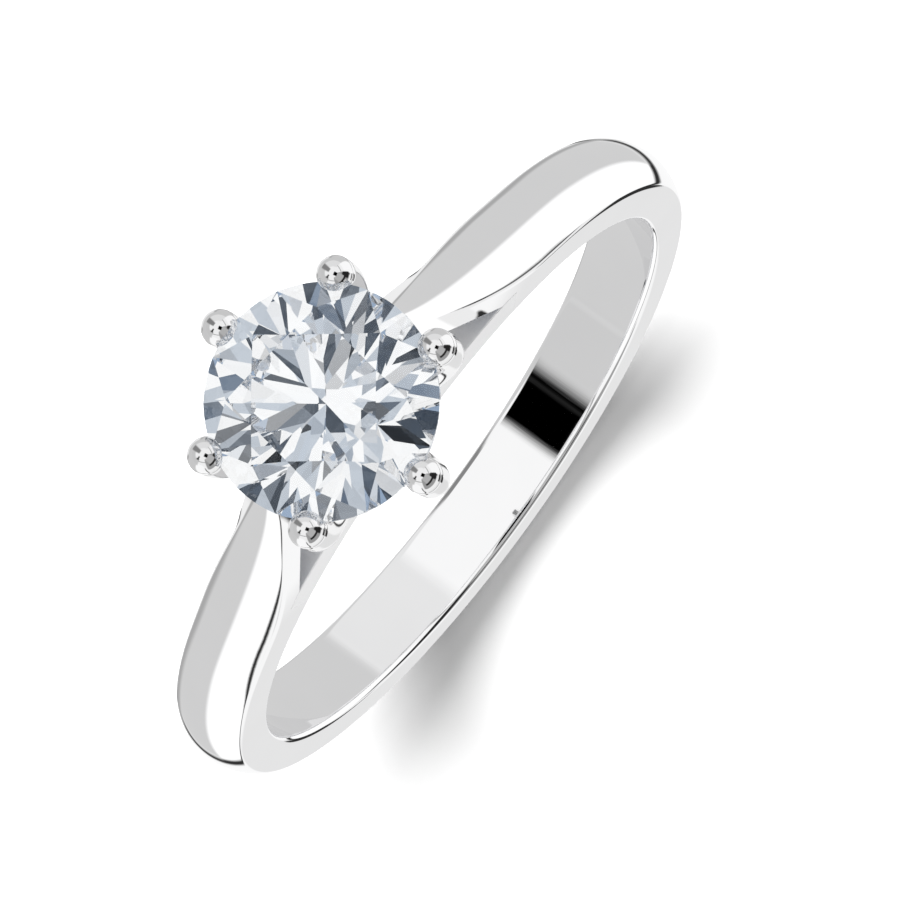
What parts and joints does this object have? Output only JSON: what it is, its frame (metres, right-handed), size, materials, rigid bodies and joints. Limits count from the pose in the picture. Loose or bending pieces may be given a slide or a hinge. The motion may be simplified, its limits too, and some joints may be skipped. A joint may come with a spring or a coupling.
{
  "type": "engagement ring",
  "caption": "Six-claw solitaire engagement ring: a round brilliant stone on tapered cathedral shoulders and a rounded band, in polished white metal.",
  "frame": {"origin": "centre of the finger hole, halfway across the band", "axes": "+Y along the finger hole, +Z from the finger hole to the stone, +X across the shoulders to the right shoulder"},
  "size_m": [0.0206, 0.0078, 0.0254],
  "materials": {
    "white_metal": "mirror polished white gold or platinum",
    "diamond": "polished facets, colourless"
  },
  "bodies": {
    "root": {"shank": "white_metal", "bridge": "white_metal", "shoulder_left": "white_metal", "shoulder_right": "white_metal", "head_base": "white_metal", "gallery_rail": "white_metal", "claw_1": "white_metal", "claw_2": "white_metal", "claw_3": "white_metal", "claw_4": "white_metal", "claw_5": "white_metal", "claw_6": "white_metal", "diamond": "diamond"}
  },
  "joints": []
}
